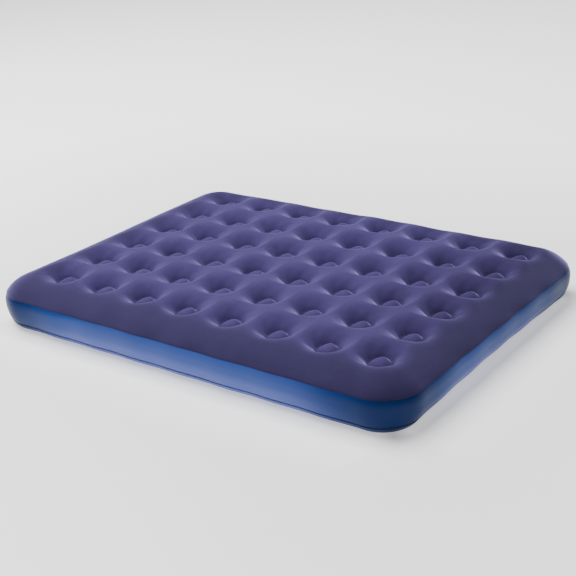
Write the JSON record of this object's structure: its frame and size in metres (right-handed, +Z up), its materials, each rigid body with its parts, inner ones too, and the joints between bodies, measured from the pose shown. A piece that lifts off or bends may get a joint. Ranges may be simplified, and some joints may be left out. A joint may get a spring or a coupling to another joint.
{
  "type": "air mattress",
  "caption": "Queen-size air mattress with a flocked, welled sleeping surface, internal coil beams and a two-stage valve, a screw-in insert with a plug cap, in one end.",
  "frame": {"origin": "centre of the underside, on the floor", "axes": "+X along the length, away from the valve end; +Y across the width; +Z up, out of the sleeping surface"},
  "size_m": [2.0433, 1.5176, 0.218],
  "materials": {
    "flocked_pvc": "velvety flocking",
    "blue_pvc": "smooth semi-gloss film",
    "beam_pvc": "satin film",
    "valve_soft_pvc": "soft moulded",
    "valve_hard_plastic": "moulded",
    "seal_silicone": "translucent silicone",
    "pin_plastic": "moulded"
  },
  "bodies": {
    "mattress": {"top_sheet": "flocked_pvc", "side_wall": "blue_pvc", "bottom_sheet": "blue_pvc", "coil_beam_r1_c1": "beam_pvc", "coil_beam_r1_c2": "beam_pvc", "coil_beam_r1_c3": "beam_pvc", "coil_beam_r1_c4": "beam_pvc", "coil_beam_r1_c5": "beam_pvc", "coil_beam_r1_c6": "beam_pvc", "coil_beam_r1_c7": "beam_pvc", "coil_beam_r1_c8": "beam_pvc", "coil_beam_r2_c1": "beam_pvc", "coil_beam_r2_c2": "beam_pvc", "coil_beam_r2_c3": "beam_pvc", "coil_beam_r2_c4": "beam_pvc", "coil_beam_r2_c5": "beam_pvc", "coil_beam_r2_c6": "beam_pvc", "coil_beam_r2_c7": "beam_pvc", "coil_beam_r2_c8": "beam_pvc", "coil_beam_r3_c1": "beam_pvc", "coil_beam_r3_c2": "beam_pvc", "coil_beam_r3_c3": "beam_pvc", "coil_beam_r3_c4": "beam_pvc", "coil_beam_r3_c5": "beam_pvc", "coil_beam_r3_c6": "beam_pvc", "coil_beam_r3_c7": "beam_pvc", "coil_beam_r3_c8": "beam_pvc", "coil_beam_r4_c1": "beam_pvc", "coil_beam_r4_c2": "beam_pvc", "coil_beam_r4_c3": "beam_pvc", "coil_beam_r4_c4": "beam_pvc", "coil_beam_r4_c5": "beam_pvc", "coil_beam_r4_c6": "beam_pvc", "coil_beam_r4_c7": "beam_pvc", "coil_beam_r4_c8": "beam_pvc", "coil_beam_r5_c1": "beam_pvc", "coil_beam_r5_c2": "beam_pvc", "coil_beam_r5_c3": "beam_pvc", "coil_beam_r5_c4": "beam_pvc", "coil_beam_r5_c5": "beam_pvc", "coil_beam_r5_c6": "beam_pvc", "coil_beam_r5_c7": "beam_pvc", "coil_beam_r5_c8": "beam_pvc", "coil_beam_r6_c1": "beam_pvc", "coil_beam_r6_c2": "beam_pvc", "coil_beam_r6_c3": "beam_pvc", "coil_beam_r6_c4": "beam_pvc", "coil_beam_r6_c5": "beam_pvc", "coil_beam_r6_c6": "beam_pvc", "coil_beam_r6_c7": "beam_pvc", "coil_beam_r6_c8": "beam_pvc", "valve_base": "valve_soft_pvc", "base_seal": "seal_silicone"},
    "insert_lift": {"insert_tether": "valve_soft_pvc"},
    "insert": {"valve_insert": "valve_hard_plastic", "flap_pin": "pin_plastic", "cap_tether": "valve_soft_pvc"},
    "flap": {"check_flap": "seal_silicone"},
    "cap": {"inflate_cap": "valve_soft_pvc"}
  },
  "joints": [
    {"name": "insert_slide", "type": "slide", "parent": "mattress", "child": "insert_lift", "axis": [-1, 0, 0], "range_m": [0, 0.009], "deforming": ["insert_tether"]},
    {"name": "insert_turn", "type": "hinge", "parent": "insert_lift", "child": "insert", "pos_m": [-1.0141, -0.42, 0.087], "axis": [-1, 0, 0], "range_deg": [0, 540]},
    {"name": "flap_swing", "type": "hinge", "parent": "insert", "child": "flap", "pos_m": [-1.0055, -0.42, 0.0981], "axis": [0, -1, 0], "range_deg": [0, 55], "stiffness_Nm_per_rad": 0.0002},
    {"name": "cap_swing", "type": "hinge", "parent": "insert", "child": "cap", "pos_m": [-1.0294, -0.43625, 0.087], "axis": [0, 0, 1], "range_deg": [0, 150]}
  ],
  "couplings": [
    {"joint": "insert_turn", "follows": "insert_slide", "rad_per_m": 1047.2}
  ]
}
